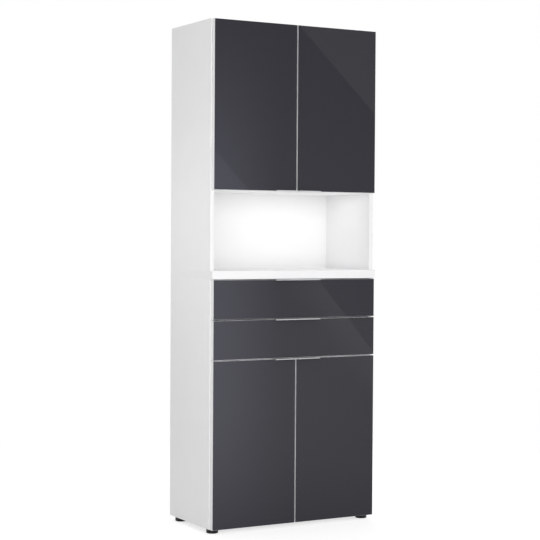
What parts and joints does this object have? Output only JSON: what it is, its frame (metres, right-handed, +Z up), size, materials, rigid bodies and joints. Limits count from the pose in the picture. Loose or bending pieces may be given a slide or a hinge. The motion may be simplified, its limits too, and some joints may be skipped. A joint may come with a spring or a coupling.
{
  "type": "storage cabinet",
  "caption": "Tall free-standing storage cabinet with glass-fronted doors above and below, drawers and an open niche in the middle, on low glides.",
  "frame": {"origin": "middle of the overall box in plan, on the floor under the glides", "axes": "+X to the right seen from the front, +Y to the back, +Z up"},
  "size_m": [0.8, 0.42, 2.14],
  "materials": {
    "white_melamine": "white melamine-faced particle board with ABS edges",
    "white_backboard": "white foil-faced hardboard",
    "anthracite_glass": "anthracite lacquered float glass, polished",
    "anodised_aluminium": "natural anodised extrusion",
    "black_plastic": "injection-moulded, glossy",
    "zinc_steel": "zinc-plated pressed steel",
    "cage_plastic": "natural moulded nylon"
  },
  "bodies": {
    "cabinet": {"base_bottom": "white_melamine", "base_side_left": "white_melamine", "base_side_right": "white_melamine", "base_divider": "white_melamine", "base_back": "white_backboard", "base_shelf": "white_melamine", "cover_board": "white_melamine", "upper_side_left": "white_melamine", "upper_side_right": "white_melamine", "niche_ceiling": "white_melamine", "upper_top": "white_melamine", "upper_back": "white_backboard", "upper_shelf": "white_melamine", "feet": "black_plastic", "shelf_pins": "zinc_steel", "slide_rails": "zinc_steel", "hinge_arms": "zinc_steel", "hinge_plates": "zinc_steel"},
    "drawer_1": {"drawer_1_glass": "anthracite_glass", "drawer_1_carrier": "white_melamine", "drawer_1_handle": "anodised_aluminium", "drawer_1_side_left": "white_melamine", "drawer_1_side_right": "white_melamine", "drawer_1_back": "white_melamine", "drawer_1_bottom": "white_backboard", "drawer_1_slide_members": "zinc_steel"},
    "drawer_1_middles": {"drawer_1_slide_middles": "zinc_steel", "drawer_1_slide_cages": "cage_plastic"},
    "drawer_2": {"drawer_2_glass": "anthracite_glass", "drawer_2_carrier": "white_melamine", "drawer_2_handle": "anodised_aluminium", "drawer_2_side_left": "white_melamine", "drawer_2_side_right": "white_melamine", "drawer_2_back": "white_melamine", "drawer_2_bottom": "white_backboard", "drawer_2_slide_members": "zinc_steel"},
    "drawer_2_middles": {"drawer_2_slide_middles": "zinc_steel", "drawer_2_slide_cages": "cage_plastic"},
    "base_door_left_links": {"base_door_left_links": "zinc_steel"},
    "base_door_left": {"base_door_left_glass": "anthracite_glass", "base_door_left_carrier": "white_melamine", "base_door_left_handle": "anodised_aluminium", "base_door_left_cups": "zinc_steel"},
    "base_door_right_links": {"base_door_right_links": "zinc_steel"},
    "base_door_right": {"base_door_right_glass": "anthracite_glass", "base_door_right_carrier": "white_melamine", "base_door_right_handle": "anodised_aluminium", "base_door_right_cups": "zinc_steel"},
    "upper_door_left_links": {"upper_door_left_links": "zinc_steel"},
    "upper_door_left": {"upper_door_left_glass": "anthracite_glass", "upper_door_left_carrier": "white_melamine", "upper_door_left_handle": "anodised_aluminium", "upper_door_left_cups": "zinc_steel"},
    "upper_door_right_links": {"upper_door_right_links": "zinc_steel"},
    "upper_door_right": {"upper_door_right_glass": "anthracite_glass", "upper_door_right_carrier": "white_melamine", "upper_door_right_handle": "anodised_aluminium", "upper_door_right_cups": "zinc_steel"}
  },
  "joints": [
    {"name": "drawer_1_slide", "type": "slide", "parent": "cabinet", "child": "drawer_1", "axis": [0, -1, 0], "range_m": [0, 0.3]},
    {"name": "drawer_1_middles_slide", "type": "slide", "parent": "cabinet", "child": "drawer_1_middles", "axis": [0, -1, 0], "range_m": [0, 0.15]},
    {"name": "drawer_2_slide", "type": "slide", "parent": "cabinet", "child": "drawer_2", "axis": [0, -1, 0], "range_m": [0, 0.3]},
    {"name": "drawer_2_middles_slide", "type": "slide", "parent": "cabinet", "child": "drawer_2_middles", "axis": [0, -1, 0], "range_m": [0, 0.15]},
    {"name": "base_door_left_link_pivot", "type": "hinge", "parent": "cabinet", "child": "base_door_left_links", "pos_m": [-0.3688, -0.166, 0.3705], "axis": [0, 0, -1], "range_deg": [-38, 0]},
    {"name": "base_door_left_hinge", "type": "hinge", "parent": "base_door_left_links", "child": "base_door_left", "pos_m": [-0.3862, -0.1708, 0.3705], "axis": [0, 0, -1], "range_deg": [0, 133]},
    {"name": "base_door_right_link_pivot", "type": "hinge", "parent": "cabinet", "child": "base_door_right_links", "pos_m": [0.3688, -0.166, 0.3705], "axis": [0, 0, 1], "range_deg": [-38, 0]},
    {"name": "base_door_right_hinge", "type": "hinge", "parent": "base_door_right_links", "child": "base_door_right", "pos_m": [0.3862, -0.1708, 0.3705], "axis": [0, 0, 1], "range_deg": [0, 133]},
    {"name": "upper_door_left_link_pivot", "type": "hinge", "parent": "cabinet", "child": "upper_door_left_links", "pos_m": [-0.3688, -0.166, 1.78525], "axis": [0, 0, -1], "range_deg": [-38, 0]},
    {"name": "upper_door_left_hinge", "type": "hinge", "parent": "upper_door_left_links", "child": "upper_door_left", "pos_m": [-0.3862, -0.1708, 1.78525], "axis": [0, 0, -1], "range_deg": [0, 133]},
    {"name": "upper_door_right_link_pivot", "type": "hinge", "parent": "cabinet", "child": "upper_door_right_links", "pos_m": [0.3688, -0.166, 1.78525], "axis": [0, 0, 1], "range_deg": [-38, 0]},
    {"name": "upper_door_right_hinge", "type": "hinge", "parent": "upper_door_right_links", "child": "upper_door_right", "pos_m": [0.3862, -0.1708, 1.78525], "axis": [0, 0, 1], "range_deg": [0, 133]}
  ],
  "couplings": [
    {"joint": "drawer_1_middles_slide", "follows": "drawer_1_slide", "ratio": 0.5},
    {"joint": "drawer_2_middles_slide", "follows": "drawer_2_slide", "ratio": 0.5},
    {"joint": "base_door_left_link_pivot", "follows": "base_door_left_hinge", "ratio": -0.28571},
    {"joint": "base_door_right_link_pivot", "follows": "base_door_right_hinge", "ratio": -0.28571},
    {"joint": "upper_door_left_link_pivot", "follows": "upper_door_left_hinge", "ratio": -0.28571},
    {"joint": "upper_door_right_link_pivot", "follows": "upper_door_right_hinge", "ratio": -0.28571}
  ]
}
